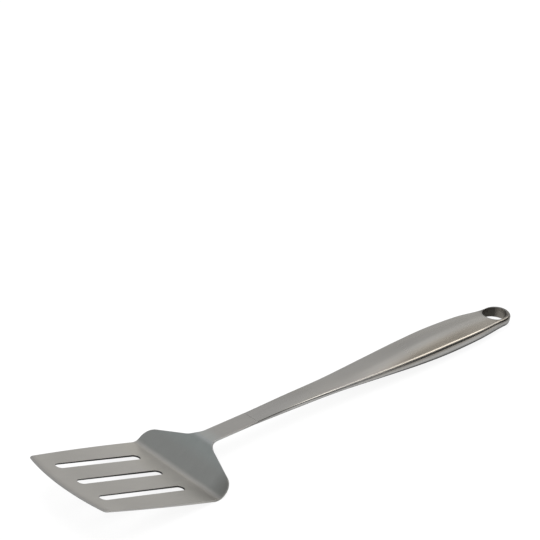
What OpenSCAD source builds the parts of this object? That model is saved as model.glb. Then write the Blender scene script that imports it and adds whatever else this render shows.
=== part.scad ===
// Slotted turner: a bent sheet blade welded into a hollow two-shell handle with a hanging sleeve.
// It lies on the table as it is used: heel and handle end down, +X towards the handle end.

/* [Blade] */
// Length of the blade from the heel line to the middle of its front edge
blade_len = 109.2; // [80:0.2:140]
// Width of the blade at the heel
heel_w = 98.4; // [80:0.2:120]
// How much narrower the blade is across its front corners than at the heel
front_narrowing = 8.6; // [4:0.2:16]
// How far the middle of the front edge stands out past its corners
front_bow = 6.4; // [2:0.2:9]
// Radius of the two front corners
corner_r = 3; // [0.6:0.1:4]
// Thickness of the sheet at the heel, shoulder and shank
sheet_t = 1.6; // [1.5:0.1:2.2]
// Thickness of the blade just behind its front edge, after grinding
front_t = 1.1; // [0.9:0.1:1.4]
// Width of the bevel ground along the front edge
bevel_w = 2.2; // [1:0.1:4]
// Thickness left at the front edge
edge_t = 0.5; // [0.3:0.1:0.8]
// Angle of the blade above the table
blade_tilt = 18; // [10:0.5:24]

/* [Slots] */
// Number of slots
slot_count = 3; // [1:1:3]
// Distance from the front ends of the slots to the line through the front corners
slot_front_gap = 10.1; // [8:0.1:30]
// Width of each slot
slot_w = 7.4; // [5:0.2:12]
// Distance between the centre lines of neighbouring slots
slot_pitch = 26; // [20:0.5:30]
// Distance from the heel line to the rear end of the slots
slot_setback = 15.1; // [8:0.1:20]

/* [Shoulder and neck] */
// Angle of the shoulder above the table
shoulder_tilt = 35.2; // [28:0.1:38]
// Distance up the shoulder from the heel line to the neck bend
shoulder_len = 30; // [28:0.1:32]
// Distance up the shoulder at which its side and slanted edge would meet
ear_rise = 13; // [12.6:0.1:15]
// Radius of the rounded ears
ear_r = 12.4; // [4:0.2:12.4]
// Distance up the shoulder at which the slanted edge would meet the side of the shank
neck_rise = 29.3; // [28:0.1:31]
// Radius of the fillet between the slanted edge and the shank
neck_fillet_r = 13; // [8:0.5:16]
// Radius of the heel bend on the upper face
heel_r = 8; // [4:0.5:8]
// Radius of the neck bend on the lower face
neck_r = 7.7; // [4:0.1:9]

/* [Shank] */
// Width of the shank
shank_w = 15.8; // [14:0.2:18]
// Length of the shank from the neck bend to the handle
shank_len = 45.8; // [30:0.2:70]
// Angle at which the shank falls away towards the handle end
shank_fall = 1.1; // [0:0.1:1.5]
// Length of the tang inside the handle
tang_len = 46; // [20:1:60]

/* [Handle] */
// Length of the handle
handle_len = 269; // [220:1:320]
// Width of the handle at its widest
handle_w = 34; // [28:0.2:38]
// Height of the seam between the shells above the table, at the centre of the round end
end_seam_h = 7; // [7:0.05:9]
// Wall of the two shells
shell_t = 0.8; // [0.6:0.1:0.9]
// Radius of the crown across the top shell
crown_r = 70; // [50:1:120]
// How far the bottom shell is set in under the top shell
seam_inset = 0.25; // [0.1:0.05:0.4]
// Clearance around the tang inside the shells
fit_gap = 0.1; // [0.05:0.01:0.15]

/* [Hanging hole] */
// Radius of the hanging hole
hole_r = 10; // [8:0.1:11]
// Wall of the sleeve that lines the hole
sleeve_t = 0.8; // [0.5:0.1:0.9]
// Width of the rim that is left beside the hole
ring_w = 2.1; // [2:0.1:5]
// Distance from the handle's tip to the axis of the hole
hole_inset = 13.6; // [13.4:0.1:20]
// Lean of the hole's axis towards the handle's end
hole_tilt = 3.5; // [0:0.5:6]

/* [Hidden] */
$fn = 96;
// Overrun of every cut past the face it goes through
over = 1;
// Facets of the very large, nearly straight arcs
long_fn = 720;

// Places along the handle, from its start (0) to the centre of its round end (1)
station_shares = [0, 0.05, 0.156, 0.311, 0.467, 0.623, 0.747, 0.88, 1];
// Width there: the shares gained from shank to widest, then those kept down to the end
gain_shares = [0, 0.012, 0.094, 0.313, 0.64, 0.917, 1];
keep_shares = [0.75, 0];
// Height lost there by the seam and by the underside, which reaches the table before the hole
seam_shares = [0, 0.012, 0.066, 0.289, 0.455, 0.569, 0.642, 0.81, 1];
under_shares = [0, 0.06, 0.16, 0.262, 0.5, 0.765, 0.913, 0.961, 1.02];
// Height of the top shell's edge as a share of its half width, along the handle and at its round end
rim_share = 0.17;
end_rim_share = 0.19;
// Edge rounding as a share of that height, at the handle's start and further on
first_round_share = 0.25;
full_round_share = 0.92;
// Shares of the full crown that the handle starts and ends with
first_crown_share = 0.02;
end_crown_share = 0.6;
// Share of the handle's length over which the rounding and the crown come in
blend_share = 0.3;
// Share of the handle's length over which the crown flattens again towards the round end
tail_share = 0.15;
// Squareness of the bottom shell's section at its start and where it is widest
start_power = 5;
belly_power = 3.2;
// Share of the shank's width that the tang keeps
tang_share = 0.7;
// Sections along the straight part, and steps round half of the end
body_steps = 36;
end_steps = 10;
// Steps across the sections: crown, edge, underside and inner faces
crown_steps = 3;
round_steps = 4;
belly_steps = 8;
inner_steps = 4;
// Sections along the blade, round each bend, each ear and each fillet, and the least distance apart
blade_steps = 8;
bend_steps = 12;
ear_steps = 9;
fillet_steps = 12;
apart = 0.1;

heel_half = heel_w / 2;
front_half = heel_half - front_narrowing / 2;
shank_half = shank_w / 2;
wide_half = handle_w / 2;
end_r = hole_r + ring_w;
front_corner_l = blade_len - front_bow;
slot_len = front_corner_l - slot_front_gap - slot_setback;
neck_top_r = neck_r + sheet_t;
heel_turn = blade_tilt + shoulder_tilt;
neck_turn = shoulder_tilt + shank_fall;
heel_back = heel_r * tan(heel_turn / 2);
neck_back = neck_top_r * tan(neck_turn / 2);
neck_arc = neck_top_r * neck_turn * PI / 180;

// The heel line is where the upper faces of blade and shoulder would meet
heel_line_x = heel_r * sin(shoulder_tilt) - heel_back * cos(shoulder_tilt);
heel_line_z = sheet_t + heel_r * (1 - cos(shoulder_tilt)) - heel_back * sin(shoulder_tilt);
neck_x = heel_line_x + shoulder_len * cos(shoulder_tilt);
neck_z = heel_line_z + shoulder_len * sin(shoulder_tilt);
handle_x = neck_x + shank_len * cos(shank_fall);
shank_top = neck_z - shank_len * sin(shank_fall);
tip_x = handle_x + handle_len;
end_x = tip_x - end_r;
hole_x = tip_x - hole_inset;
first_rim = rim_share * shank_half;
first_seam = shank_top - first_rim;
first_under = shank_top - sheet_t - shell_t;

// The finished part stands with the middle of its outline over the origin
front_x = heel_line_x - blade_len * cos(blade_tilt) - front_t * sin(blade_tilt);
middle_x = (front_x + tip_x) / 2;

module placed() {
    translate([-middle_x, 0, 0]) children();
}

// Meeting point, on the right of the way from a to b, of circles of radius ra and rb round them
function meet(a, ra, b, rb) =
    let (d = norm(b - a), u = (b - a) / d, t = (d * d + ra * ra - rb * rb) / (2 * d))
    a + t * u + sqrt(ra * ra - t * t) * [u[1], -u[0]];

// Sides and front edge of the blade are shallow arcs; the corner arc touches both
side_run = front_corner_l - heel_back;
side_drop = heel_half - front_half;
side_r = (side_run * side_run + side_drop * side_drop) / (2 * side_drop);
front_r = (front_half * front_half + front_bow * front_bow) / (2 * front_bow);
side_centre = [heel_back, heel_half - side_r];
front_centre = [blade_len - front_r, 0];
corner_centre = meet(side_centre, side_r - corner_r, front_centre, front_r - corner_r);

// Waste beyond the rounding of one front corner, in the plane of the blade
module corner_waste() {
    side_touch = side_centre + (corner_centre - side_centre) * (side_r + over) / (side_r - corner_r);
    front_touch = front_centre + (corner_centre - front_centre) * (front_r + over) / (front_r - corner_r);
    outside = corner_centre + 2 * ([front_corner_l, front_half] - corner_centre);
    difference() {
        polygon([corner_centre, side_touch, outside, front_touch]);
        translate(corner_centre) circle(corner_r);
    }
}

module slot_plan() {
    for (x = [slot_w / 2, slot_len - slot_w / 2])
        translate([x, 0]) circle(slot_w / 2);
    translate([slot_w / 2, -slot_w / 2]) square([slot_len - slot_w, slot_w]);
}

// Cuts square to the blade, with x running from the heel line to the front
module blade_cuts() {
    far_r = norm([blade_len + 2 * over - front_centre[0], heel_half]);
    translate([heel_line_x, 0, heel_line_z])
        rotate([0, blade_tilt, 0])
        rotate([0, 0, 180]) {
            translate([front_centre[0], 0, 0])
                rotate_extrude($fn = long_fn)
                polygon([[front_r - bevel_w, 0], [front_r - bevel_w, over], [far_r, over],
                         [far_r, -sheet_t - over], [front_r, -sheet_t - over], [front_r, edge_t - front_t]]);
            for (m = [0, 1])
                mirror([0, m, 0])
                translate([0, 0, -sheet_t - over])
                linear_extrude(sheet_t + 2 * over) corner_waste();
            for (k = [0 : slot_count - 1])
                translate([slot_setback, (k - (slot_count - 1) / 2) * slot_pitch, -sheet_t - over])
                linear_extrude(sheet_t + 2 * over) slot_plan();
        }
}

// Flat pattern of shoulder, neck and shank: distance from the heel line and half width
slant = atan2(heel_half - shank_half, neck_rise - ear_rise);
ear_centre = [ear_rise - ear_r * tan(slant / 2), heel_half - ear_r];
fillet_centre = [neck_rise + neck_fillet_r * tan(slant / 2), shank_half + neck_fillet_r];
ear_end = ear_centre + ear_r * [sin(slant), cos(slant)];
fillet_start = fillet_centre - neck_fillet_r * [sin(slant), cos(slant)];
bend_start = shoulder_len - neck_back;
bend_end = bend_start + neck_arc;
pattern_end = bend_end + shank_len - neck_back;
function pattern_half(s) =
    s <= ear_centre[0] ? heel_half :
    s < ear_end[0] ? ear_centre[1] + sqrt(pow(ear_r, 2) - pow(s - ear_centre[0], 2)) :
    s < fillet_start[0] ?
        ear_end[1] + (s - ear_end[0]) * (fillet_start[1] - ear_end[1]) / (fillet_start[0] - ear_end[0]) :
    s < fillet_centre[0] ? fillet_centre[1] - sqrt(pow(neck_fillet_r, 2) - pow(s - fillet_centre[0], 2)) :
    shank_half;

// Distances at which the curved edges of the pattern get a section
pattern_stops = concat(
    [for (k = [0 : ear_steps]) ear_centre[0] + ear_r * sin(slant * k / ear_steps)],
    [for (k = [0 : fillet_steps]) fillet_centre[0] - neck_fillet_r * sin(slant * (1 - k / fillet_steps))]);

// Sections of the bent sheet: upper face, slope, half width and thickness
function blade_section(l) =
    [heel_line_x - l * cos(blade_tilt), heel_line_z + l * sin(blade_tilt), -blade_tilt,
     side_centre[1] + sqrt(side_r * side_r - pow(l - heel_back, 2)),
     sheet_t - (sheet_t - front_t) * (l - heel_back) / (blade_len - heel_back)];
function heel_section(a) = [heel_r * sin(a), sheet_t + heel_r * (1 - cos(a)), a, heel_half, sheet_t];
function shoulder_section(s) =
    [heel_line_x + s * cos(shoulder_tilt), heel_line_z + s * sin(shoulder_tilt), shoulder_tilt,
     pattern_half(s), sheet_t];
function neck_section(share) =
    let (a = shoulder_tilt - neck_turn * share, start = shoulder_section(bend_start))
    [start[0] + neck_top_r * (sin(shoulder_tilt) - sin(a)), start[1] - neck_top_r * (cos(shoulder_tilt) - cos(a)),
     a, pattern_half(bend_start + neck_arc * share), sheet_t];
function shank_section(s) =
    let (run = s - pattern_end)
    [handle_x + run * cos(shank_fall), shank_top - run * sin(shank_fall), -shank_fall, pattern_half(s), sheet_t];
sections = concat(
    [for (k = [blade_steps : -1 : 1]) blade_section(heel_back + (blade_len + over - heel_back) * k / blade_steps)],
    [for (k = [0 : bend_steps]) heel_section(heel_turn * k / bend_steps - blade_tilt)],
    [for (s = pattern_stops) if (s > heel_back + apart && s < bend_start - apart) shoulder_section(s)],
    [for (k = [0 : bend_steps]) neck_section(k / bend_steps)],
    [for (s = pattern_stops) if (s > bend_end + apart) shank_section(s)],
    [[handle_x, shank_top, 0, shank_half, sheet_t / cos(shank_fall)]]);

// The whole sheet, lofted in one go along its bends so that its edges stay square to its faces
module bent_sheet() {
    function corners(c) =
        let (low = [c[0] + c[4] * sin(c[2]), c[1] - c[4] * cos(c[2])])
        [[c[0], -c[3], c[1]], [c[0], c[3], c[1]], [low[0], c[3], low[1]], [low[0], -c[3], low[1]]];
    n = len(sections) - 1;
    walls = [for (k = [0 : n - 1], j = [0 : 3])
        let (a = 4 * k + j, b = 4 * k + (j + 1) % 4)
        each (j % 2 == 0 ? [[a, b, b + 4, a + 4]] : [[a, b, a + 4], [b, b + 4, a + 4]])];
    ends = [[3, 2, 1, 0], [for (j = [0 : 3]) 4 * n + j]];
    polyhedron(points = [for (c = sections) each corners(c)], faces = concat(walls, ends), convexity = 6);
}

// The tang: the shank thinned on both faces to slip between the shells
module tang() {
    tang_w = tang_share * shank_w;
    tang_t = sheet_t - shell_t - 2 * fit_gap;
    translate([handle_x - over, 0, shank_top + over * sin(shank_fall)])
        rotate([0, shank_fall, 0])
        translate([0, -tang_w / 2, fit_gap - sheet_t])
        cube([tang_len + over, tang_w, tang_t]);
}

module slotted_blade() {
    color("#9a9a96")
        placed() {
            difference() {
                bent_sheet();
                blade_cuts();
            }
            tang();
        }
}

function smooth(u) = u <= 0 ? 0 : u >= 1 ? 1 : u * u * (3 - 2 * u);

// Smooth curve through the values that a list gives at the stations
last = len(station_shares) - 1;
function slope_at(v, i, end_slope) =
    i == last ? end_slope :
    let (j = max(0, i - 1)) (v[i + 1] - v[j]) / (station_shares[i + 1] - station_shares[j]);
function span_of(u) = max(0, min(last - 1, len([for (s = station_shares) if (s < u) s]) - 1));
function hermite(v, u, end_slope, i) =
    let (h = station_shares[i + 1] - station_shares[i], t = (u - station_shares[i]) / h)
    (2 * t * t * t - 3 * t * t + 1) * v[i] + (t * t * t - 2 * t * t + t) * h * slope_at(v, i, end_slope)
    + (3 * t * t - 2 * t * t * t) * v[i + 1] + (t * t * t - t * t) * h * slope_at(v, i + 1, end_slope);
function along(x) = (x - handle_x) / (end_x - handle_x);
function curve(v, x, end_slope) =
    along(x) >= 1 ? v[last] + (along(x) - 1) * end_slope : hermite(v, along(x), end_slope, span_of(along(x)));

half_widths = concat([for (s = gain_shares) shank_half + s * (wide_half - shank_half)],
                     [for (s = keep_shares) end_r + s * (wide_half - end_r)]);
function half_at(x) = curve(half_widths, x, 0);
function seam_at(x) = first_seam - (first_seam - end_seam_h) * curve(seam_shares, x, 0);
function under_at(x) = first_under * max(0, 1 - curve(under_shares, x, 0));
function blend_at(x) = smooth((x - handle_x) / (blend_share * handle_len));
function tail_at(x) = smooth(1 - (end_x - x) / (tail_share * handle_len));
function power_at(x) = start_power + (belly_power - start_power) * blend_at(x);

// Places on the handle's rim, counted from the near side of its start round the tip to the far side
rim_count = 2 * body_steps + 2 * end_steps + 1;
function mirror_of(i) = rim_count - 1 - i;
function is_end(i) = i > body_steps && mirror_of(i) > body_steps;
function body_x(i) = handle_x + (end_x - handle_x) * min(i, mirror_of(i), body_steps) / body_steps;
function end_angle(i) = 90 * (i - body_steps) / end_steps - 90;
function reach(i) = half_at(body_x(i));
function heading(i) =
    is_end(i) ? [cos(end_angle(i)), sin(end_angle(i))] : [0, i < rim_count / 2 ? -1 : 1];
function spot(i, out) = [body_x(i) + heading(i)[0] * out, heading(i)[1] * out];

// One point of the top shell, out from the spine and up from the seam
function top_point(i, out, rise, crown) =
    let (p = spot(i, out)) [p[0], p[1], seam_at(p[0]) + rise + crown * (1 - pow(out / reach(i), 2))];
function crown_at(i) = (first_crown_share + (1 - first_crown_share) * blend_at(body_x(i)))
    * (1 - (1 - end_crown_share) * tail_at(body_x(i))) * pow(reach(i), 2) / (2 * crown_r);
function rim_at(i) = reach(i) * (rim_share + (end_rim_share - rim_share) * tail_at(body_x(i)));
function round_at(i) = rim_at(i)
    * (first_round_share + (full_round_share - first_round_share) * blend_at(body_x(i)));

// Outer face of the top shell from the spine to the rim
function top_outer(i) =
    let (w = reach(i), rim = rim_at(i), r = round_at(i), c = crown_at(i))
    concat(
        [for (k = [0 : crown_steps - 1]) top_point(i, (w - r) * k / crown_steps, rim, c)],
        [for (k = [0 : round_steps]) let (a = 90 * k / round_steps)
            top_point(i, w - r * (1 - sin(a)), rim - r * (1 - cos(a)), c)],
        [top_point(i, w, 0, 0)]);

// Inner face of the top shell from the rim back to the spine
function top_inner(i) =
    let (w = reach(i) - shell_t, rim = rim_at(i) - shell_t, c = crown_at(i),
         r = round_at(i) * rim / (rim + shell_t))
    concat(
        [top_point(i, w, 0, 0)],
        [for (k = [0 : inner_steps - 1]) let (a = 90 * k / (inner_steps - 1))
            top_point(i, w - r * (1 - cos(a)), rim - r * (1 - sin(a)), c)],
        [top_point(i, 0, rim, c)]);

// One point of the bottom shell: its section is a squared-off oval below the seam
function belly_point(i, w, angle, wall) =
    let (power = 2 / power_at(body_x(i)), p = spot(i, w * pow(cos(angle), power)))
    [p[0], p[1], seam_at(p[0]) - (seam_at(p[0]) - under_at(p[0]) - wall) * pow(sin(angle), power)];
function bottom_outer(i) =
    [for (k = [0 : belly_steps]) belly_point(i, reach(i) - seam_inset, 90 * k / belly_steps, 0)];
function bottom_inner(i) =
    [for (k = [inner_steps : -1 : 0])
        belly_point(i, reach(i) - seam_inset - shell_t, 90 * k / inner_steps, shell_t)];

// Closed skin over one row of points per place on the rim; the rows meet on the spine
module skin(rows, first) {
    depth = len(rows[0]);
    count = len(rows);
    function home(i) = min(i, count - 1 - i, body_steps - first);
    function id(i, k) = (k == 0 || k == depth - 1 ? home(i) : i) * depth + k;
    function tri(a, b, c) = a == b || b == c || a == c ? [] : [[a, b, c]];
    function panel(a, b, c, d) = concat(tri(a, b, c), tri(a, c, d));
    walls = [for (i = [0 : count - 2], k = [0 : depth - 2])
        each (i < (count - 1) / 2 ? panel(id(i, k), id(i + 1, k), id(i + 1, k + 1), id(i, k + 1)) :
              panel(id(i, k + 1), id(i, k), id(i + 1, k), id(i + 1, k + 1)))];
    front = concat([for (k = [0 : depth - 1]) id(0, k)],
                   [for (k = [depth - 2 : -1 : 1]) id(count - 1, k)]);
    polyhedron(points = [for (r = rows) each r], faces = concat(walls, [front]), convexity = 6);
}

module at_hole() {
    translate([hole_x, 0, seam_at(hole_x)])
        rotate([0, hole_tilt, 0])
        children();
}

module hole_rod(r) {
    at_hole() translate([0, 0, -handle_w]) cylinder(r = r, h = 2 * handle_w);
}

module handle_top_shell() {
    color("#a3a29d")
        placed()
        difference() {
            skin([for (i = [0 : rim_count - 1]) concat(top_outer(i), top_inner(i))], 0);
            hole_rod(hole_r + sleeve_t);
        }
}

module handle_bottom_shell() {
    color("#8f8f8b")
        placed()
        difference() {
            skin([for (i = [0 : rim_count - 1]) concat(bottom_inner(i), bottom_outer(i))], 0);
            hole_rod(hole_r + sleeve_t);
        }
}

// Tube between the two shells, ground flush with their outer faces
module hanging_sleeve() {
    first = body_steps - ceil(2 * body_steps * end_r / (end_x - handle_x));
    color("#7d7d7a")
        placed()
        difference() {
            intersection() {
                skin([for (i = [first : mirror_of(first)])
                      concat(top_outer(i), bottom_outer(i))], first);
                hole_rod(hole_r + sleeve_t);
            }
            hole_rod(hole_r);
        }
}

slotted_blade();
handle_top_shell();
handle_bottom_shell();
hanging_sleeve();
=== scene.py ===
from math import asin, atan2, cos, hypot, pi, radians, sin, sqrt, tan

import bmesh
import bpy
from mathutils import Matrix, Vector
from mathutils.geometry import delaunay_2d_cdt


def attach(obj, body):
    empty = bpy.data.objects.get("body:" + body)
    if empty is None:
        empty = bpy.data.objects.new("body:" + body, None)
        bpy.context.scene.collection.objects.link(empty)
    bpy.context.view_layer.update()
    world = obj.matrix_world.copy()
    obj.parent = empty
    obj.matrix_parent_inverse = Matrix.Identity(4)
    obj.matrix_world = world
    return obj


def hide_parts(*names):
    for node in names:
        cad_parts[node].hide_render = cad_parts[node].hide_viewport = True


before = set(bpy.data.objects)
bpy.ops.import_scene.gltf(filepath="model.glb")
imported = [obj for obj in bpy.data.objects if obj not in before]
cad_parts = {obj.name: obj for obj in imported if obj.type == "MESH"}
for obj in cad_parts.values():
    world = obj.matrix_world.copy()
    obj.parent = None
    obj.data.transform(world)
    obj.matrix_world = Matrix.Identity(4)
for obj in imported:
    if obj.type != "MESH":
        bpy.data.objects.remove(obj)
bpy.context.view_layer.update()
print("frame loaded:", sorted(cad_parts))

# The pieces' lengths are in millimetres and their angles in degrees, as in the part's source.
# The places in the materials and in the studio are in metres.
metre = 0.001

blade = {
    "length": 109.2, "heelWidth": 98.4, "frontWidth": 89.8, "bow": 6.4, "cornerRadius": 3,
    "sheet": 1.6, "frontSheet": 1.1, "bevel": 2.2, "edge": 0.5, "tilt": 18,
    "slots": 3, "slotLength": 77.6, "slotWidth": 7.4, "slotPitch": 26, "slotSetback": 15.1,
    "shoulderTilt": 35.2, "shoulderLength": 30, "earRise": 13, "earRadius": 12.4,
    "neckRise": 29.3, "filletRadius": 13, "heelRadius": 8, "neckRadius": 7.7,
    "shankWidth": 15.8, "shankLength": 45.8, "shankFall": 1.1, "edgeRound": 0.2,
    "frontSteps": 40, "cornerSteps": 8, "sideSteps": 24, "heelSteps": 16, "earSteps": 16,
    "filletSteps": 24, "neckSteps": 24, "slotSteps": 20, "bevelSteps": 48, "roundSteps": 3,
    "cornerSpan": 3, "cornerSearch": 6, "halvings": 50, "earGap": 0.1, "bendGap": 0.15, "mergeDistance": 1e-6,
}
handle = {
    "length": 269, "width": 34, "endSeam": 7, "wall": 0.8, "crownRadius": 70, "inset": 0.25,
    "stations": [0, 0.05, 0.156, 0.311, 0.467, 0.623, 0.747, 0.88, 1],
    "gained": [0, 0.012, 0.094, 0.313, 0.64, 0.917, 1], "kept": [0.75, 0],
    "seamLoss": [0, 0.012, 0.066, 0.289, 0.455, 0.569, 0.642, 0.81, 1],
    "underLoss": [0, 0.06, 0.16, 0.262, 0.5, 0.765, 0.913, 0.961, 1.02],
    "rimShare": 0.17, "endRim": 0.19, "endCrown": 0.6, "tail": 0.15, "blend": 0.3,
    "firstRound": 0.25, "fullRound": 0.92, "firstCrown": 0.02, "startPower": 5, "bellyPower": 3.2,
    "bodySteps": 120, "endSteps": 26, "crownSteps": 6, "rollSteps": 10, "bellySteps": 18, "bellyBand": 8,
    "raySteps": 8, "hair": 1e-9,
}
hole = {
    "radius": 10, "sleeve": 0.8, "ring": 2.1, "inset": 13.6, "tilt": 3.5, "lip": 0.15,
    "steps": 120, "lipSteps": 5, "passes": 8, "rowGap": 4.5, "bandShare": 0.75,
}
shellEdge = {"width": 0.08, "segments": 2, "angle": 50}
normalWeight = 80

# Lengths that follow from the settings, as in the part's source
tilt = radians(blade["tilt"])
rise = radians(blade["shoulderTilt"])
fall = radians(blade["shankFall"])
neckTop = blade["neckRadius"] + blade["sheet"]
heelBack = blade["heelRadius"] * tan((tilt + rise) / 2)
neckBack = neckTop * tan((rise + fall) / 2)
heelX = blade["heelRadius"] * sin(rise) - heelBack * cos(rise)
heelZ = blade["sheet"] + blade["heelRadius"] * (1 - cos(rise)) - heelBack * sin(rise)
neckX = heelX + blade["shoulderLength"] * cos(rise)
neckZ = heelZ + blade["shoulderLength"] * sin(rise)
handleX = neckX + blade["shankLength"] * cos(fall)
shankTop = neckZ - blade["shankLength"] * sin(fall)
tipX = handleX + handle["length"]
endRadius = hole["radius"] + hole["ring"]
endX = tipX - endRadius
holeX = tipX - hole["inset"]
shankHalf = blade["shankWidth"] / 2
middleX = (heelX - blade["length"] * cos(tilt) - blade["frontSheet"] * sin(tilt) + tipX) / 2


def toFrame(point):
    return ((point[0] - middleX) * metre, point[1] * metre, point[2] * metre)


# Piece from points and faces. A wall makes it a shell, and finishes gives each face its material.
def makePiece(name, points, faces, node, wall=0, finishes=None):
    mesh = bpy.data.meshes.new(name)
    mesh.from_pydata([toFrame(p) for p in points], [], faces)
    work = bmesh.new()
    work.from_mesh(mesh)
    bmesh.ops.recalc_face_normals(work, faces=work.faces)
    work.to_mesh(mesh)
    work.free()
    mesh.polygons.foreach_set("use_smooth", [True] * len(mesh.polygons))
    mesh.update()
    for polygon, index in zip(mesh.polygons, finishes or []):
        polygon.material_index = index
    piece = bpy.data.objects.new(name, mesh)
    bpy.context.scene.collection.objects.link(piece)
    if wall:
        shell = piece.modifiers.new("wall", "SOLIDIFY")
        shell.thickness = wall * metre
        shell.offset = -1
        shell.use_quality_normals = True
        edges = piece.modifiers.new("edges", "BEVEL")
        edges.width = shellEdge["width"] * metre
        edges.segments = shellEdge["segments"]
        edges.limit_method = "ANGLE"
        edges.angle_limit = radians(shellEdge["angle"])
    weighted = piece.modifiers.new("normals", "WEIGHTED_NORMAL")
    weighted.keep_sharp = True
    weighted.weight = normalWeight
    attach(piece, "root")
    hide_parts(node)
    print(name, len(points), "points,", len(faces), "faces")
    return piece


# The bent sheet. The strip distance u runs along its upper face from the start of the heel bend,
# negative on the blade and positive up the shoulder and along the shank.
heelArc = blade["heelRadius"] * (tilt + rise)
bendStart = blade["shoulderLength"] - neckBack
bendArc = neckTop * (rise + fall)
patternEnd = bendStart + bendArc + blade["shankLength"] - neckBack
stripEnd = heelArc + patternEnd - heelBack
heelHalf = blade["heelWidth"] / 2


# Upper face point, slope and thickness at a strip distance
def stripSection(u):
    if u < 0:
        run = heelBack - u
        thick = blade["sheet"] - (blade["sheet"] - blade["frontSheet"]) * -u / (blade["length"] - heelBack)
        return heelX - run * cos(tilt), heelZ + run * sin(tilt), -tilt, thick
    if u < heelArc:
        a = u / blade["heelRadius"] - tilt
        return (blade["heelRadius"] * sin(a), blade["sheet"] + blade["heelRadius"] * (1 - cos(a)), a,
                blade["sheet"])
    s = u - heelArc + heelBack
    if s < bendStart:
        return heelX + s * cos(rise), heelZ + s * sin(rise), rise, blade["sheet"]
    if s < bendStart + bendArc:
        a = rise - (s - bendStart) / neckTop
        return (heelX + bendStart * cos(rise) + neckTop * (sin(rise) - sin(a)),
                heelZ + bendStart * sin(rise) - neckTop * (cos(rise) - cos(a)), a, blade["sheet"])
    run = s - patternEnd
    return handleX + run * cos(fall), shankTop - run * sin(fall), -fall, blade["sheet"]


# Point at a depth below the upper face
def stripPoint(u, y, depth):
    x, z, a, thick = stripSection(u)
    return x + depth * sin(a), y, z - depth * cos(a)


sideRun = blade["length"] - blade["bow"] - heelBack
sideDrop = heelHalf - blade["frontWidth"] / 2
sideRadius = (sideRun ** 2 + sideDrop ** 2) / (2 * sideDrop)
frontHalf = blade["frontWidth"] / 2
frontRadius = (frontHalf ** 2 + blade["bow"] ** 2) / (2 * blade["bow"])
frontCentre = blade["length"] - frontRadius


# Half width of the blade at a run from the crossing of blade and shoulder
def sideHalf(run):
    return heelHalf - sideRadius + sqrt(sideRadius ** 2 - (run - heelBack) ** 2)


# Place between two others where the test stops being true
def crossing(low, high, before):
    for _ in range(blade["halvings"]):
        middle = (low + high) / 2
        if before(middle):
            low = middle
        else:
            high = middle
    return middle


# Centre of the arc that rounds the corner between the side arc and the front arc
def cornerSpot():
    reach = sideRadius - blade["cornerRadius"]

    def spot(y):
        return frontCentre + sqrt((frontRadius - blade["cornerRadius"]) ** 2 - y * y)

    y = crossing(frontHalf - blade["cornerSpan"] * blade["cornerRadius"], frontHalf,
                 lambda y: hypot(spot(y) - heelBack, y - heelHalf + sideRadius) < reach)
    return spot(y), y


# The ear and the neck fillet of the shoulder's outline, and where its slanted edge touches them
slant = atan2(heelHalf - shankHalf, blade["neckRise"] - blade["earRise"])
earRadius, filletRadius = blade["earRadius"], blade["filletRadius"]
earCentre = (blade["earRise"] - earRadius * tan(slant / 2), heelHalf - earRadius)
filletCentre = (blade["neckRise"] + filletRadius * tan(slant / 2), shankHalf + filletRadius)
earEnd = (earCentre[0] + earRadius * sin(slant), earCentre[1] + earRadius * cos(slant))
filletStart = (filletCentre[0] - filletRadius * sin(slant), filletCentre[1] - filletRadius * cos(slant))


# Half width of the shoulder and the shank at a distance from the crossing of blade and shoulder
def patternHalf(s):
    if s <= earCentre[0]:
        return heelHalf
    if s < earEnd[0]:
        return earCentre[1] + sqrt(earRadius ** 2 - (s - earCentre[0]) ** 2)
    if s < filletStart[0]:
        part = (s - earEnd[0]) / (filletStart[0] - earEnd[0])
        return earEnd[1] + part * (filletStart[1] - earEnd[1])
    if s < filletCentre[0]:
        return filletCentre[1] - sqrt(filletRadius ** 2 - (s - filletCentre[0]) ** 2)
    return shankHalf


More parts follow.
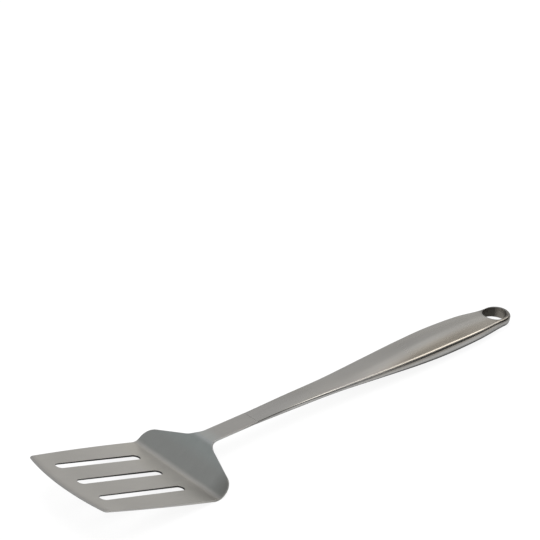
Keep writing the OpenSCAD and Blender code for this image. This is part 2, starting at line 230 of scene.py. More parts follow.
# One side of the sheet's outline, from the middle of the front edge to the handle, and its bend stations
def sheetOutline():
    cornerRun, y = cornerSpot()
    frontAngle = asin(y / (frontRadius - blade["cornerRadius"]))
    sideAngle = atan2(y - heelHalf + sideRadius, cornerRun - heelBack)
    side = []
    for k in range(blade["frontSteps"] + 1):
        a = frontAngle * k / blade["frontSteps"]
        side.append((heelBack - frontCentre - frontRadius * cos(a), frontRadius * sin(a)))
    for k in range(1, blade["cornerSteps"] + 1):
        a = frontAngle + (sideAngle - frontAngle) * k / blade["cornerSteps"]
        along = cornerRun + blade["cornerRadius"] * cos(a)
        side.append((heelBack - along, y + blade["cornerRadius"] * sin(a)))
    touch = heelBack - side[-1][0]
    bevelRun = crossing(touch - blade["cornerSearch"], touch,
                        lambda run: hypot(run - frontCentre, sideHalf(run)) < frontRadius - blade["bevel"])
    bevelAt = len(side)
    for k in range(blade["sideSteps"]):
        run = bevelRun + (heelBack - bevelRun) * k / blade["sideSteps"]
        side.append((heelBack - run, sideHalf(run)))
    bends = []
    for k in range(blade["heelSteps"] + 1):
        bends.append(len(side))
        side.append((heelArc * k / blade["heelSteps"], heelHalf))
    shift = heelArc - heelBack
    ear = [earCentre[0] + earRadius * sin(slant * k / blade["earSteps"])
           for k in range(blade["earSteps"] + 1)]
    side += [(s + shift, patternHalf(s)) for s in ear if s > heelBack + blade["earGap"]]
    fillet = [filletCentre[0] - filletRadius * sin(slant * (1 - k / blade["filletSteps"]))
              for k in range(blade["filletSteps"] + 1)]
    first, last = bendStart - blade["bendGap"], bendStart + bendArc + blade["bendGap"]
    side += [(s + shift, patternHalf(s)) for s in fillet if earEnd[0] + blade["earGap"] < s < first]
    for k in range(blade["neckSteps"] + 1):
        s = bendStart + bendArc * k / blade["neckSteps"]
        bends.append(len(side))
        side.append((s + shift, patternHalf(s)))
    side += [(s + shift, patternHalf(s)) for s in fillet if s > last]
    side.append((stripEnd, shankHalf))
    return side, bends, bevelAt


# The loop moved to its left by the distance, with mitred corners
def offsetLoop(loop, distance):
    moved = []
    for i, p in enumerate(loop):
        a = (Vector(p) - Vector(loop[i - 1])).normalized()
        b = (Vector(loop[(i + 1) % len(loop)]) - Vector(p)).normalized()
        na, nb = Vector((-a.y, a.x)), Vector((-b.y, b.x))
        moved.append(Vector(p) + (na + nb) * distance / (1 + na.dot(nb)))
    return moved


def insideLoop(point, loop):
    inside = False
    for i, a in enumerate(loop):
        b = loop[i - 1]
        if (a[1] > point[1]) != (b[1] > point[1]):
            if point[0] < a[0] + (b[0] - a[0]) * (point[1] - a[1]) / (b[1] - a[1]):
                inside = not inside
    return inside


# How far the ground bevel lies below the upper face
def bevelDrop(u, y):
    reach = hypot(heelBack - u - frontCentre, y) - frontRadius + blade["bevel"]
    return max(0, reach) * (blade["frontSheet"] - blade["edge"]) / blade["bevel"]


# Both faces are one flat pattern, filled with triangles and bent. The finishes are 0 for the sheet,
# 1 for the slots' walls and 2 for the ground bevel.
def buildBlade():
    side, bends, bevelAt = sheetOutline()
    count = len(side)
    # Round the outline with the sheet on the left: along the near side to the handle and back
    outline = [(u, -y) for u, y in side] + [(u, y) for u, y in reversed(side[1:])]
    outline = [Vector(p) for p in outline]
    loops = [outline]
    radius = blade["slotWidth"] / 2
    for k in range(blade["slots"]):
        middle = (k - (blade["slots"] - 1) / 2) * blade["slotPitch"]
        near = heelBack - blade["slotSetback"] - radius
        far = heelBack - blade["slotSetback"] - blade["slotLength"] + radius
        turns = [pi * j / blade["slotSteps"] for j in range(blade["slotSteps"] + 1)]
        slot = [Vector((near + radius * sin(a), middle + radius * cos(a))) for a in turns]
        slot += [Vector((far - radius * sin(a), middle - radius * cos(a))) for a in turns]
        loops.append(slot)
    steps = blade["roundSteps"]
    rings = []
    for k in range(steps + 1):
        a = pi / 2 * k / steps
        inset = blade["edgeRound"] * (1 - cos(a))
        rings.append(([offsetLoop(loop, inset) for loop in loops], blade["edgeRound"] * (1 - sin(a))))
    inner = [p for loop in rings[-1][0] for p in loop]
    starts = [0]
    for loop in loops:
        starts.append(starts[-1] + len(loop))
    edges = []
    for n, loop in enumerate(loops):
        edges += [(starts[n] + i, starts[n] + (i + 1) % len(loop)) for i in range(len(loop))]
    mirror = {i: len(outline) - i for i in range(1, count)}
    edges += [(i, mirror[i]) for i in bends]
    arc = [bevelAt]
    bevelRadius = frontRadius - blade["bevel"]
    halfTurn = asin(inner[mirror[bevelAt]].y / bevelRadius)
    for k in range(1, blade["bevelSteps"]):
        a = halfTurn * (2 * k / blade["bevelSteps"] - 1)
        arc.append(len(inner))
        inner.append(Vector((heelBack - frontCentre - bevelRadius * cos(a), bevelRadius * sin(a))))
    arc.append(mirror[bevelAt])
    edges += list(zip(arc, arc[1:]))
    verts, _, triangles, origins, _, _ = delaunay_2d_cdt(inner, edges, [], 0, blade["mergeDistance"], True)

    def middleOf(triangle):
        return sum((verts[v] for v in triangle), Vector((0, 0))) / len(triangle)

    rim, *openings = rings[-1][0]
    fill = [t for t in triangles if insideLoop(middleOf(t), rim)
            and not any(insideLoop(middleOf(t), opening) for opening in openings)]

    points, faces, cuts = [], [], []
    firsts = {}
    for face in ("top", "under"):
        for k, (ringLoops, depth) in enumerate(rings[:-1]):
            firsts[face, k] = len(points)
            for loop in ringLoops:
                for u, y in loop:
                    drop = bevelDrop(u, y) + depth if face == "top" else stripSection(u)[3] - depth
                    points.append(stripPoint(u, y, drop))
        base = len(points)
        ids = {}
        for v, p in enumerate(verts):
            drop = bevelDrop(p.x, p.y) if face == "top" else stripSection(p.x)[3]
            points.append(stripPoint(p.x, p.y, drop))
            for o in origins[v]:
                ids[o] = base + v
        firsts[face, steps] = ids
        if face == "top":
            ground = [len(faces) + n for n, t in enumerate(fill) if bevelDrop(*middleOf(t)) > 0]
        faces += [[base + v for v in t] for t in fill]

    def at(face, k, i):
        return firsts[face, k][i] if k == steps else firsts[face, k] + i

    for n, loop in enumerate(loops):
        for i in range(len(loop)):
            a, b = starts[n] + i, starts[n] + (i + 1) % len(loop)
            for face in ("top", "under"):
                for k in range(steps):
                    faces.append([at(face, k, a), at(face, k, b), at(face, k + 1, b), at(face, k + 1, a)])
            if n:
                cuts.append(len(faces))
            faces.append([at("top", 0, a), at("top", 0, b), at("under", 0, b), at("under", 0, a)])
    finishes = [0] * len(faces)
    for i in cuts:
        finishes[i] = 1
    for i in ground:
        finishes[i] = 2
    return points, faces, finishes


bladePoints, bladeFaces, bladeFinishes = buildBlade()
bladePiece = makePiece("slottedBlade", bladePoints, bladeFaces, "slotted_blade",
                       finishes=bladeFinishes)


# The handle's curves, through the same station values as in the part's source
stations = handle["stations"]
wideHalf = handle["width"] / 2
halves = [shankHalf + g * (wideHalf - shankHalf) for g in handle["gained"]]
halves += [endRadius + g * (wideHalf - endRadius) for g in handle["kept"]]
firstSeam = shankTop - handle["rimShare"] * shankHalf
firstUnder = shankTop - blade["sheet"] - handle["wall"]


def smoothStep(t):
    t = min(1, max(0, t))
    return t * t * (3 - 2 * t)


# Value at x of the smooth curve through one value for each station, which ends level
def curveThrough(values, x):
    t = (x - handleX) / (endX - handleX)
    last = len(stations) - 1
    if t >= 1:
        return values[-1]

    def slope(i):
        if i == last:
            return 0
        j = max(0, i - 1)
        return (values[i + 1] - values[j]) / (stations[i + 1] - stations[j])

    i = max(0, min(last - 1, sum(1 for s in stations if s < t) - 1))
    h = stations[i + 1] - stations[i]
    q = (t - stations[i]) / h
    return ((2 * q ** 3 - 3 * q * q + 1) * values[i] + (q ** 3 - 2 * q * q + q) * h * slope(i)
            + (3 * q * q - 2 * q ** 3) * values[i + 1] + (q ** 3 - q * q) * h * slope(i + 1))


# Half width of the handle, height of its seam and of its underside
def halfAt(x):
    return curveThrough(halves, x)


def seamAt(x):
    return firstSeam - (firstSeam - handle["endSeam"]) * curveThrough(handle["seamLoss"], x)


def underAt(x):
    return firstUnder * max(0, 1 - curveThrough(handle["underLoss"], x))


# Shares of the way from the flat start to the full section, and from that to the tip
def blendAt(x):
    return smoothStep((min(x, endX) - handleX) / (handle["blend"] * handle["length"]))


def tailAt(x):
    return smoothStep(1 - (endX - min(x, endX)) / (handle["tail"] * handle["length"]))


# Height of the rim above the seam, and how much of it is rolled
def rimAt(x):
    return halfAt(x) * (handle["rimShare"] + (handle["endRim"] - handle["rimShare"]) * tailAt(x))


# Distance from the handle's middle line, which ends at the tip's centre
def outFrom(x, y):
    return hypot(x - endX, y) if x > endX else abs(y)


def rollAt(x):
    share = handle["firstRound"] + (handle["fullRound"] - handle["firstRound"]) * blendAt(x)
    return rimAt(x) * share


# Height of the top shell's outer face above the table
def topHeight(x, y):
    w, out, r = halfAt(x), outFrom(x, y), rollAt(x)
    crown = (handle["firstCrown"] + (1 - handle["firstCrown"]) * blendAt(x)) * w * w
    crown /= 2 * handle["crownRadius"]
    crown *= 1 - (1 - handle["endCrown"]) * tailAt(x)
    q = min(1, max(0, (out - w + r) / r))
    return (seamAt(x) + rimAt(x) - r * (1 - sqrt(1 - q * q))
            + crown * (1 - min(1, out / w) ** 2))


def bellyPower(x):
    return handle["startPower"] + (handle["bellyPower"] - handle["startPower"]) * blendAt(x)


# Height of the bottom shell's outer face above the table
def underHeight(x, y):
    p = bellyPower(x)
    q = min(1, outFrom(x, y) / (halfAt(x) - handle["inset"]))
    return seamAt(x) - (seamAt(x) - underAt(x)) * (1 - q ** p) ** (1 / p)


# Point where the leaning hole of that radius comes through a face
def holeEdge(angle, radius, height):
    lean = radians(hole["tilt"])
    z = seamAt(holeX)
    y = radius * sin(angle)
    for _ in range(hole["passes"]):
        x = holeX + (z - seamAt(holeX)) * tan(lean) + radius / cos(lean) * cos(angle)
        z = height(x, y)
    return x, y, z


# Width of the rim band there, which narrows where the hole comes close
def bandAt(x, y, w, band):
    radius = hole["radius"] + hole["sleeve"]
    if x > endX:
        c, s = (x - endX) / w, y / w
        back = endX - holeX
        return min(band, hole["bandShare"] * (w + back * c - sqrt(radius ** 2 - (back * s) ** 2)))
    if abs(x - holeX) < radius:
        return min(band, hole["bandShare"] * (w - sqrt(radius ** 2 - (x - holeX) ** 2)))
    return band


# Outer face of one shell: rows across the handle, a band round the rim, then rays to the hole's edge
def shellSkin(height, shares, bandSteps, inset, skirt):
    steps = handle["bodySteps"]
    cross = int(steps * (holeX - hole["radius"] - hole["rowGap"] - handleX) / (endX - handleX))
    points, faces = [], []

    def add(x, y, z):
        points.append((x, y, z))
        return len(points) - 1

    rows = []
    for i in range(cross + 1):
        x = handleX + (endX - handleX) * i / steps
        w = halfAt(x) - inset
        rows.append([add(x, q * w, height(x, q * w)) for q in shares(x)])
    for a, b in zip(rows, rows[1:]):
        faces += [[a[j], b[j], b[j + 1], a[j + 1]] for j in range(len(a) - 1)]

    # Places round the rim past the cross line: a centre on the spine and the outward heading
    places = [(handleX + (endX - handleX) * i / steps, pi / 2) for i in range(cross + 1, steps + 1)]
    turns = [pi / 2 - pi * k / (2 * handle["endSteps"]) for k in range(1, 2 * handle["endSteps"])]
    places += [(endX, a) for a in turns] + [(x, -pi / 2) for x, _ in reversed(places)]
    columns = [list(reversed(rows[-1][-bandSteps - 1:]))]
    for x, a in places:
        w = halfAt(x) - inset
        half = shares(x)[-bandSteps - 1:]
        band = w * (1 - half[0])
        past = handle["hair"] if x == endX else 0  # counts the tip's first and last places to the tip
        kept = bandAt(x + w * cos(a) + past, w * sin(a), w, band) / band
        column = []
        for q in reversed(half):
            out = w * (1 - (1 - q) * kept)
            px, py = x + out * cos(a), out * sin(a)
            column.append(add(px, py, height(px, py)))
        columns.append(column)
    columns.append(rows[-1][:bandSteps + 1])
    for a, b in zip(columns, columns[1:]):
        faces += [[a[k], b[k], b[k + 1], a[k + 1]] for k in range(bandSteps)]
    around = rows[-1][bandSteps:-bandSteps] + [c[-1] for c in columns[1:-1]]
    rays = []
    for v in around:
        x, y, z = points[v]
        end = holeEdge(atan2(y, x - holeX), hole["radius"] + hole["sleeve"], height)
        ray = [v]
        for k in range(1, handle["raySteps"] + 1):
            t = k / handle["raySteps"]
            px, py = x + (end[0] - x) * t, y + (end[1] - y) * t
            ray.append(add(px, py, height(px, py)))
        rays.append(ray)
    for n, ray in enumerate(rays):
        after = rays[(n + 1) % len(rays)]
        faces += [[ray[k], after[k], after[k + 1], ray[k + 1]] for k in range(len(ray) - 1)]
    if skirt:
        rim = [r[-1] for r in rows] + [c[0] for c in columns[1:-1]] + [r[0] for r in reversed(rows)]
        low = [add(points[v][0], points[v][1], seamAt(points[v][0])) for v in rim]
        faces += [[rim[n], rim[n + 1], low[n + 1], low[n]] for n in range(len(rim) - 1)]
    return points, faces


# Shares of the half width where the sections have their points
def topShares(x):
    w, r = halfAt(x), rollAt(x)
    half = [(w - r) / w * k / handle["crownSteps"] for k in range(handle["crownSteps"])]
    half += [1 - r / w * (1 - sin(pi / 2 * k / handle["rollSteps"])) for k in range(handle["rollSteps"] + 1)]
    return [-q for q in reversed(half[1:])] + half


def bellyShares(x):
    turns = [pi / 2 * k / handle["bellySteps"] for k in range(handle["bellySteps"] + 1)]
    half = [max(0, cos(a)) ** (2 / bellyPower(x)) for a in reversed(turns)]
    half[0] = 0
    return [-q for q in reversed(half[1:])] + half


topPoints, topFaces = shellSkin(topHeight, topShares, handle["rollSteps"], 0, True)
topPiece = makePiece("handleTopShell", topPoints, topFaces, "handle_top_shell",
                     handle["wall"])
underPoints, underFaces = shellSkin(underHeight, bellyShares, handle["bellyBand"], handle["inset"], False)
underPiece = makePiece("handleBottomShell", underPoints, underFaces, "handle_bottom_shell",
                       handle["wall"])


# The tube that lines the hole: its ends follow both shells and its inner edges are eased.
# The finishes are 0 for the ring and 1 for the bore.
def buildSleeve():
    profile = []
    for height, order in ((topHeight, 1), (underHeight, -1)):
        rings = [(hole["radius"] + hole["sleeve"], 0), (hole["radius"] + hole["lip"], 0)]
        turns = [pi / 2 * k / hole["lipSteps"] for k in range(1, hole["lipSteps"] + 1)]
        rings += [(hole["radius"] + hole["lip"] * (1 - sin(a)), hole["lip"] * (1 - cos(a))) for a in turns]
        rings = [(height, radius, depth * order) for radius, depth in rings]
        profile += rings if order > 0 else rings[::-1]
    points, faces, finishes = [], [], []
    for n in range(hole["steps"]):
        angle = 2 * pi * n / hole["steps"]
        for height, radius, depth in profile:
            x, y, z = holeEdge(angle, radius, height)
            points.append((x - depth * tan(radians(hole["tilt"])), y, z - depth))
    rows = len(profile)
    for n in range(hole["steps"]):
        a, b = n * rows, (n + 1) % hole["steps"] * rows
        faces += [[a + k, a + (k + 1) % rows, b + (k + 1) % rows, b + k] for k in range(rows)]
        finishes += [1 if k == rows // 2 - 1 else 0 for k in range(rows)]
    return points, faces, finishes


sleevePoints, sleeveFaces, sleeveFinishes = buildSleeve()
sleevePiece = makePiece("hangingSleeve", sleevePoints, sleeveFaces, "hanging_sleeve",
                        finishes=sleeveFinishes)


def addNode(tree, kind, inputs=None, **settings):
    made = tree.nodes.new(kind)
    for key, value in settings.items():
        setattr(made, key, value)
    for key, value in (inputs or {}).items():
        if isinstance(value, bpy.types.NodeSocket):
            tree.links.new(value, made.inputs[key])
        else:
            made.inputs[key].default_value = value
    return made


def mathNode(tree, operation, *values):
    return addNode(tree, "ShaderNodeMath", dict(enumerate(values)), operation=operation).outputs["Value"]


def productOf(tree, first, *others):
    for other in others:
        first = mathNode(tree, "MULTIPLY", first, other)
    return first


# Smooth ramp: the two places it runs between, then its value at each
def rampNode(tree, place, ramp):
    start, end, low, high = ramp
    made = addNode(tree, "ShaderNodeMapRange", {"Value": place, "From Min": start, "From Max": end,
                                                "To Min": low, "To Max": high},
                   interpolation_type="SMOOTHSTEP")
    return made.outputs["Result"]


# Fine satin scratches along the piece, with slow clouds in tone and gloss
satin = {
    "fineScale": (60, 3600, 3600), "wideScale": (14, 260, 260), "detail": 3.0, "fineRoughness": 0.65,
    "wideRoughness": 0.5, "wideShare": 0.4, "lowNoise": 0.3, "highNoise": 0.7,
    "tone": 0.045, "gloss": 0.02, "bump": 0.0001,
}


def grainGroup():
    group = bpy.data.node_groups.new("satinGrain", "ShaderNodeTree")
    face = group.interface
    for name, kind, way in (("Vector", "NodeSocketVector", "INPUT"), ("Depth", "NodeSocketFloat", "INPUT"),
                            ("Tone", "NodeSocketFloat", "OUTPUT"), ("Gloss", "NodeSocketFloat", "OUTPUT"),
                            ("Normal", "NodeSocketVector", "OUTPUT")):
        face.new_socket(name=name, in_out=way, socket_type=kind)
    start = group.nodes.new("NodeGroupInput")
    end = group.nodes.new("NodeGroupOutput")

    def noise(scale, roughness):
        stretched = addNode(group, "ShaderNodeMapping", {"Vector": start.outputs["Vector"], "Scale": scale})
        made = addNode(group, "ShaderNodeTexNoise", {"Vector": stretched.outputs["Vector"], "Scale": 1.0,
                                                     "Detail": satin["detail"], "Roughness": roughness})
        return made.outputs["Fac"]

    def around(value, middle, change):
        made = addNode(group, "ShaderNodeMapRange",
                       {"Value": value, "From Min": satin["lowNoise"], "From Max": satin["highNoise"],
                        "To Min": middle - change, "To Max": middle + change})
        return made.outputs["Result"]

    fine = noise(satin["fineScale"], satin["fineRoughness"])
    wide = noise(satin["wideScale"], satin["wideRoughness"])
    both = addNode(group, "ShaderNodeMix", {"Factor": satin["wideShare"], "A": fine, "B": wide},
                   data_type="FLOAT")
    bump = addNode(group, "ShaderNodeBump", {"Strength": start.outputs["Depth"], "Distance": satin["bump"],
                                             "Height": fine})
    group.links.new(around(both.outputs["Result"], 1, satin["tone"]), end.inputs["Tone"])
    group.links.new(around(wide, 0, satin["gloss"]), end.inputs["Gloss"])
    group.links.new(bump.outputs["Normal"], end.inputs["Normal"])
    return group


satinGrain = grainGroup()

# Each shade below is painted light and shade: a factor that makes a place's colour lighter or darker.
# Each tinge is a painted tint of reflected light, its share of a second colour. They take the place in
# metres (x, y) and how much the surface faces up. In their settings a ramp has the two places it runs
# between, then its value at each.
bladeTone = {
    "bevelLine": (-0.2178, -0.2158, 0.93, 1.0), "front": (-0.216, -0.195, 1.06, 1.0),
    "middle": (-0.205, -0.128, 1.02, 1.14), "heel": (-0.122, -0.116, 1.0, 0.87),
    "earOut": (-0.029, -0.052, 0.0, 0.4), "earBack": (-0.128, -0.108, 0.0, -1.0),
    "nearOut": (-0.016, -0.032, 0.0, 0.2), "nearBack": (-0.138, -0.124, 0.0, 1.0),
    "nearEnd": (-0.1205, -0.1160, -1.0, 0.0),
    "coolStart": (-0.108, -0.097, 0.0, 1.0), "coolEnd": (-0.088, -0.078, 1.0, 0.0),
    "warmStart": (-0.150, -0.126, 0.0, 1.0), "warmEnd": (-0.118, -0.113, 0.0, -1.0),
    "warmEar": (-0.048, -0.036, 0.0, 1.0),
}


# Painted light and shade on the blade: the front's tone follows the bow of its edge, the sheet is lighter
# towards the heel bend and darker past it, and the near ear and the near part of the blade just before the
# heel bend are darker.
def bladePaintedShading(tree, at):
    bow = mathNode(tree, "MULTIPLY", at["y"], at["y"])
    behind = mathNode(tree, "MULTIPLY_ADD", bow, -cos(tilt) / (2 * frontRadius * metre), at["x"])
    ear = mathNode(tree, "MULTIPLY_ADD", rampNode(tree, at["y"], bladeTone["earOut"]),
                   rampNode(tree, at["x"], bladeTone["earBack"]), 1.0)
    near = productOf(tree, rampNode(tree, at["y"], bladeTone["nearOut"]),
                     rampNode(tree, at["x"], bladeTone["nearBack"]))
    near = mathNode(tree, "MULTIPLY_ADD", near, rampNode(tree, at["x"], bladeTone["nearEnd"]), 1.0)
    return productOf(tree, rampNode(tree, behind, bladeTone["bevelLine"]),
                     rampNode(tree, behind, bladeTone["front"]), rampNode(tree, at["x"], bladeTone["middle"]),
                     rampNode(tree, at["x"], bladeTone["heel"]), ear, near)


# The neck bend has a painted cool, lighter tint of reflected light
def neckPaintedCoolTint(tree, at):
    return productOf(tree, rampNode(tree, at["x"], bladeTone["coolStart"]),
                     rampNode(tree, at["x"], bladeTone["coolEnd"]))


# The blade has a painted warm tint of reflected light before the heel bend and, past it, only on the near ear
def heelPaintedWarmTint(tree, at):
    keep = mathNode(tree, "MULTIPLY_ADD", rampNode(tree, at["x"], bladeTone["warmEnd"]),
                    rampNode(tree, at["y"], bladeTone["warmEar"]), 1.0)
    return productOf(tree, keep, rampNode(tree, at["x"], bladeTone["warmStart"]))


handleTone = {
    "lineSlope": -0.049, "lineStart": 0.0108,
    "stripe": (0.001, 0.0065, 0.2, 0.0), "stripeStart": (0.03, 0.09, 0.0, 1.0),
    "beside": (-0.004, -0.0075, 0.0, -0.15), "besideStart": (0.07, 0.11, 0.0, 1.0),
    "besideEnd": (0.155, 0.175, 1.0, 0.0),
    "front": (0.02, 0.05, 1.0, 0.94), "back": (0.10, 0.14, 1.0, 1.06),
    "rimShadeBand": (0.0, 0.35, -0.4, -0.93), "rimShadeTop": (0.93, 0.995, 1.0, 0.0),
    "rimShadeEnd": (-0.034, 0.0, 1.0, 0.0),
    "warmSide": (0.001, -0.007, 0.0, 1.0), "warmStart": (0.02, 0.12, 0.0, 1.0),
    "softStart": (0.0, 0.045, 0.0, 0.2), "softEnd": (0.065, 0.12, 1.0, 0.1),
    "tip": (0.197, 0.207, 1.0, 0.5),
    "turnUnder": (-0.45, -0.05, -0.75, 0.0), "turnStart": (0.04, 0.09, 0.0, 1.0),
}


# Distance past the line that crosses the grip from its near edge to the middle
def pastLine(tree, at):
    line = mathNode(tree, "MULTIPLY_ADD", at["x"], handleTone["lineSlope"], handleTone["lineStart"])
    return mathNode(tree, "ADD", at["y"], line)


# Painted shade that dims the tip, on the top shell and on the sleeve's ring
def tipPaintedShade(tree, at):
    return rampNode(tree, at["x"], handleTone["tip"])


# Painted light and shade on the grip: the line is a painted bright reflection stripe with a painted darker
# band beside it, the grip is a little darker around its middle, and the rim's upright band has painted shade
# where the handle starts.
def gripPaintedShading(tree, at):
    past = pastLine(tree, at)
    stripe = productOf(tree, rampNode(tree, mathNode(tree, "ABSOLUTE", past), handleTone["stripe"]),
                       rampNode(tree, at["x"], handleTone["stripeStart"]))
    beside = productOf(tree, rampNode(tree, past, handleTone["beside"]),
                       rampNode(tree, at["x"], handleTone["besideStart"]),
                       rampNode(tree, at["x"], handleTone["besideEnd"]))
    across = mathNode(tree, "ADD", mathNode(tree, "ADD", stripe, beside), 1.0)
    rimShade = productOf(tree, rampNode(tree, at["up"], handleTone["rimShadeBand"]),
                     rampNode(tree, at["up"], handleTone["rimShadeTop"]),
                     rampNode(tree, at["x"], handleTone["rimShadeEnd"]))
    return productOf(tree, across, rampNode(tree, at["x"], handleTone["front"]),
                     rampNode(tree, at["x"], handleTone["back"]), mathNode(tree, "ADD", rimShade, 1.0),
                     tipPaintedShade(tree, at))


# The near edge of the grip has a painted warm tint of reflected light
def gripPaintedWarmTint(tree, at):
    return productOf(tree, rampNode(tree, pastLine(tree, at), handleTone["warmSide"]),
                     rampNode(tree, at["x"], handleTone["warmStart"]))


# Added roughness of the grip, most before its middle
def gripSoftness(tree, at):
    return productOf(tree, rampNode(tree, at["x"], handleTone["softStart"]),
                     rampNode(tree, at["x"], handleTone["softEnd"]))


# Painted shade on the belly where it turns under
def bellyPaintedShade(tree, at):
    change = productOf(tree, rampNode(tree, at["up"], handleTone["turnUnder"]),
                       rampNode(tree, at["x"], handleTone["turnStart"]))
    return mathNode(tree, "ADD", change, 1.0)


boreTone = {
    "darkStart": (0.2035, 0.2060, 0.0, -0.52), "lightStart": (0.2148, 0.2182, 0.0, 1.55),
    "farSide": (-0.004, 0.0, 0.0, 1.0),
}


# The far wall of the bore has painted shade in its middle and painted light towards the tip
def borePaintedShading(tree, at):
    along = mathNode(tree, "ADD", rampNode(tree, at["x"], boreTone["darkStart"]),
                     rampNode(tree, at["x"], boreTone["lightStart"]))
    change = productOf(tree, along, rampNode(tree, at["y"], boreTone["farSide"]))
    return mathNode(tree, "ADD", change, 1.0)


# Steel with the satin grain. Depth is how deep the scratches are.
def steelMaterial(name, colour, roughness, depth, shade=None, softness=None, tinges=()):
    material = bpy.data.materials.new(name)
    material.use_nodes = True
    tree = material.node_tree
    shader = tree.nodes["Principled BSDF"]
    shader.inputs["Metallic"].default_value = 1.0
    spot = addNode(tree, "ShaderNodeTexCoord")
    place = addNode(tree, "ShaderNodeSeparateXYZ", {0: spot.outputs["Object"]})
    facing = addNode(tree, "ShaderNodeSeparateXYZ", {0: spot.outputs["Normal"]})
    at = {"x": place.outputs["X"], "y": place.outputs["Y"], "up": facing.outputs["Z"]}
    grain = addNode(tree, "ShaderNodeGroup", node_tree=satinGrain)
    tree.links.new(spot.outputs["Object"], grain.inputs["Vector"])
    grain.inputs["Depth"].default_value = depth
    tone = grain.outputs["Tone"]
    if shade:
        tone = productOf(tree, tone, shade(tree, at))
    tinted = colour
    for tinge, tingeColour in tinges:
        change = addNode(tree, "ShaderNodeVectorMath", {0: [t - c for t, c in zip(tingeColour, colour)],
                                                        "Scale": tinge(tree, at)}, operation="SCALE")
        tinted = addNode(tree, "ShaderNodeVectorMath", {0: tinted, 1: change.outputs["Vector"]},
                         operation="ADD").outputs["Vector"]
    base = addNode(tree, "ShaderNodeVectorMath", {0: tinted, "Scale": tone}, operation="SCALE")
    rough = mathNode(tree, "ADD", grain.outputs["Gloss"], roughness)
    if softness:
        rough = mathNode(tree, "ADD", rough, softness(tree, at))
    tree.links.new(base.outputs["Vector"], shader.inputs["Base Color"])
    tree.links.new(rough, shader.inputs["Roughness"])
    tree.links.new(grain.outputs["Normal"], shader.inputs["Normal"])
    return material


plainSteel = (0.60, 0.59, 0.57)
polished = {"colour": plainSteel, "roughness": 0.24, "depth": 0.07}
bladeFinish = {"colour": plainSteel, "roughness": 0.33, "depth": 0.12}
# The slots' walls are rougher, as a cut edge is, and painted dark as shade inside the slots
slotWallShadedFinish = {"colour": (0.115, 0.112, 0.108), "roughness": 0.45, "depth": 0.2}
bevelFinish = {"colour": (0.55, 0.545, 0.535), "roughness": 0.36, "depth": 0.2}
# The bore is painted dark, as shade inside the hole
boreFinish = {"colour": (0.262, 0.245, 0.218), "roughness": 0.4, "depth": 0.15}
# Painted tints of reflected light: a cool, lighter one on the neck bend, a warm one by the heel and a warm
# one along the grip's near edge
coolReflectionTint, heelReflectionTint, warmReflectionTint = (0.625, 0.645, 0.63), (0.602, 0.588, 0.552), (0.61, 0.575, 0.52)

# A piece's materials are in the order of its finishes
bladeMaterials = [
    steelMaterial("bladeSteel", **bladeFinish, shade=bladePaintedShading,
                  tinges=((neckPaintedCoolTint, coolReflectionTint), (heelPaintedWarmTint, heelReflectionTint))),
    steelMaterial("slotWallShadedSteel", **slotWallShadedFinish),
    steelMaterial("bevelSteel", **bevelFinish),
]
topMaterials = [steelMaterial("gripSteel", **polished, shade=gripPaintedShading, softness=gripSoftness,
                              tinges=((gripPaintedWarmTint, warmReflectionTint),))]
underMaterials = [steelMaterial("bellySteel", **polished, shade=bellyPaintedShade)]
sleeveMaterials = [steelMaterial("ringSteel", **polished, shade=tipPaintedShade),
                   steelMaterial("boreSteel", **boreFinish, shade=borePaintedShading)]
for piece, materials in ((bladePiece, bladeMaterials), (topPiece, topMaterials),
                         (underPiece, underMaterials), (sleevePiece, sleeveMaterials)):
    for material in materials:
        piece.data.materials.append(material)
print("materials made")

# Studio: a white sheet underneath, a soft lamp overhead and a soft room that only the steel reflects
# The floor's look in the steel is painted: a painted shadow under the turner and a painted bright band beside
# it
studio = {
    "floorSize": 12, "floorDrop": 0.00005, "floorShade": 0.14, "floorGlow": 0.88,
    "floorInSteel": 0.4, "floorShadowInSteel": 0.08, "floorBrightBandInSteel": 1.3, "floorFar": 0.77,
    "underEdge": 0.009, "besideEdge": 0.020, "farEdge": 0.034, "tipStart": 0.18, "tipEnd": 0.195,
    "lampSize": 1.6, "lampHeight": 1.8, "lampEnergy": 14,
    "darkest": 0.02, "room": (0.47, 0.475, 0.49),
    "patches": [
        {"towards": (0.565, -0.06, 0.82), "inner": 6, "outer": 21, "light": (1.62, 1.52, 1.37)},
        {"towards": (0.72, 0.0, 0.69), "inner": 3, "outer": 12, "light": (1.15, 1.09, 1.0)},
        {"towards": (0.565, 0.527, 0.636), "inner": 1, "outer": 10, "light": (0.27, 0.27, 0.265)},
        {"towards": (0.6, 0.40, 0.69), "inner": 3, "outer": 13, "light": (-0.12, -0.15, -0.2)},
        {"towards": (0.6, 0.68, 0.44), "inner": 8, "outer": 23, "light": (-0.11, -0.11, -0.11)},
        {"towards": (0.565, -0.757, 0.33), "inner": 12, "outer": 42, "light": (-0.42, -0.42, -0.43)},
        {"towards": (0.87, -0.45, 0.18), "inner": 8, "outer": 28, "light": (-0.3, -0.31, -0.33)},
        {"towards": (-0.40, 0.665, 0.63), "inner": 14, "outer": 39, "light": (-0.185, -0.173, -0.187)},
        {"towards": (0.745, 0.665, 0.064), "inner": 10, "outer": 40, "light": (0.09, 0.075, 0.04)},
    ],
}
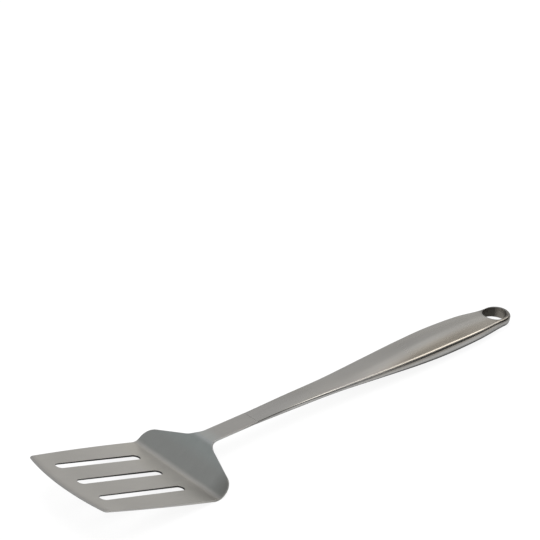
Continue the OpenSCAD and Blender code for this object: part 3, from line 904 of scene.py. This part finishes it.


# To the camera the sheet is nearly white. In the steel it has a painted shadow under the turner and a painted
# bright band beside it, and from the tip on it has one shade.
def makeFloor():
    size = studio["floorSize"] / 2
    mesh = bpy.data.meshes.new("floor")
    corners = [(-size, -size, 0), (size, -size, 0), (size, size, 0), (-size, size, 0)]
    mesh.from_pydata(corners, [], [[0, 1, 2, 3]])
    floor = bpy.data.objects.new("floor", mesh)
    bpy.context.scene.collection.objects.link(floor)
    floor.location = (0, 0, -studio["floorDrop"])
    material = bpy.data.materials.new("floorWhite")
    material.use_nodes = True
    tree = material.node_tree
    tree.nodes.clear()
    shade, glow, shine = studio["floorShade"], studio["floorGlow"], studio["floorInSteel"]
    matt = addNode(tree, "ShaderNodeBsdfDiffuse", {"Color": (shade, shade, shade, 1)})
    lit = addNode(tree, "ShaderNodeEmission", {"Color": (glow, glow, glow, 1), "Strength": 1.0})
    white = addNode(tree, "ShaderNodeAddShader", {0: matt.outputs[0], 1: lit.outputs[0]})
    spot = addNode(tree, "ShaderNodeTexCoord")
    place = addNode(tree, "ShaderNodeSeparateXYZ", {0: spot.outputs["Object"]})
    away = mathNode(tree, "ABSOLUTE", place.outputs["Y"])
    besideRamp = (studio["underEdge"], studio["besideEdge"], studio["floorShadowInSteel"],
                  shine * studio["floorBrightBandInSteel"])
    farRamp = (studio["besideEdge"], studio["farEdge"], 1.0, studio["floorFar"])
    under = productOf(tree, rampNode(tree, away, besideRamp), rampNode(tree, away, farRamp))
    lift = mathNode(tree, "SUBTRACT", shine, under)
    tip = rampNode(tree, place.outputs["X"], (studio["tipStart"], studio["tipEnd"], 0.0, 1.0))
    seen = addNode(tree, "ShaderNodeBsdfDiffuse", {"Color": mathNode(tree, "MULTIPLY_ADD", tip, lift, under)})
    path = addNode(tree, "ShaderNodeLightPath")
    mix = addNode(tree, "ShaderNodeMixShader", {0: path.outputs["Is Glossy Ray"], 1: white.outputs[0],
                                                2: seen.outputs[0]})
    out = addNode(tree, "ShaderNodeOutputMaterial")
    tree.links.new(mix.outputs[0], out.inputs["Surface"])
    mesh.materials.append(material)


# The steel reflects a grey room with lighter and darker patches, and all else sees plain white
def makeRoom():
    world = bpy.data.worlds.new("room")
    bpy.context.scene.world = world
    world.use_nodes = True
    tree = world.node_tree
    tree.nodes.clear()
    spot = addNode(tree, "ShaderNodeTexCoord")
    total = studio["room"]
    for patch in studio["patches"]:
        towards = tuple(Vector(patch["towards"]).normalized())
        dot = addNode(tree, "ShaderNodeVectorMath", {0: spot.outputs["Generated"], 1: towards},
                      operation="DOT_PRODUCT")
        inner, outer = cos(radians(patch["inner"])), cos(radians(patch["outer"]))
        share = rampNode(tree, dot.outputs["Value"], (outer, inner, 0.0, 1.0))
        part = addNode(tree, "ShaderNodeVectorMath", {0: patch["light"], "Scale": share}, operation="SCALE")
        total = addNode(tree, "ShaderNodeVectorMath", {0: total, 1: part.outputs["Vector"]},
                        operation="ADD").outputs["Vector"]
    clean = addNode(tree, "ShaderNodeVectorMath", {0: total, 1: [studio["darkest"]] * 3},
                    operation="MAXIMUM")
    room = addNode(tree, "ShaderNodeBackground", {"Color": clean.outputs["Vector"], "Strength": 1.0})
    plain = addNode(tree, "ShaderNodeBackground", {"Color": (1, 1, 1, 1), "Strength": 1.0})
    path = addNode(tree, "ShaderNodeLightPath")
    mix = addNode(tree, "ShaderNodeMixShader", {0: path.outputs["Is Glossy Ray"], 1: plain.outputs[0],
                                                2: room.outputs[0]})
    out = addNode(tree, "ShaderNodeOutputWorld")
    tree.links.new(mix.outputs[0], out.inputs["Surface"])


def makeLamp():
    lamp = bpy.data.lights.new("overhead", "AREA")
    lamp.shape = "DISK"
    lamp.size = studio["lampSize"]
    lamp.energy = studio["lampEnergy"]
    rig = bpy.data.objects.new("overhead", lamp)
    bpy.context.scene.collection.objects.link(rig)
    rig.location = (0, 0, studio["lampHeight"])
    rig.visible_glossy = False
    rig.visible_camera = False


# The photo's camera, in metres and degrees, with its lens and sensor in millimetres
camera = {
    "aim": (-0.02857, 0, 0.13582), "azimuth": -40.361, "elevation": 29.30, "distance": 1.7356,
    "lens": 160, "sensor": 36, "nearest": 0.01, "farthest": 50,
}


def makeCamera():
    data = bpy.data.cameras.new("camera")
    data.lens = camera["lens"]
    data.sensor_width = camera["sensor"]
    data.clip_start = camera["nearest"]
    data.clip_end = camera["farthest"]
    rig = bpy.data.objects.new("camera", data)
    bpy.context.scene.collection.objects.link(rig)
    a, e = radians(camera["azimuth"]), radians(camera["elevation"])
    back = Vector((sin(a) * cos(e), -cos(a) * cos(e), sin(e)))
    rig.location = Vector(camera["aim"]) + back * camera["distance"]
    rig.rotation_mode = "QUATERNION"
    rig.rotation_quaternion = (-back).to_track_quat("-Z", "Y")
    bpy.context.scene.camera = rig


makeFloor()
makeRoom()
makeLamp()
makeCamera()
bpy.context.scene.view_settings.view_transform = "Standard"
print("studio and camera made")

bpy.context.view_layer.update()
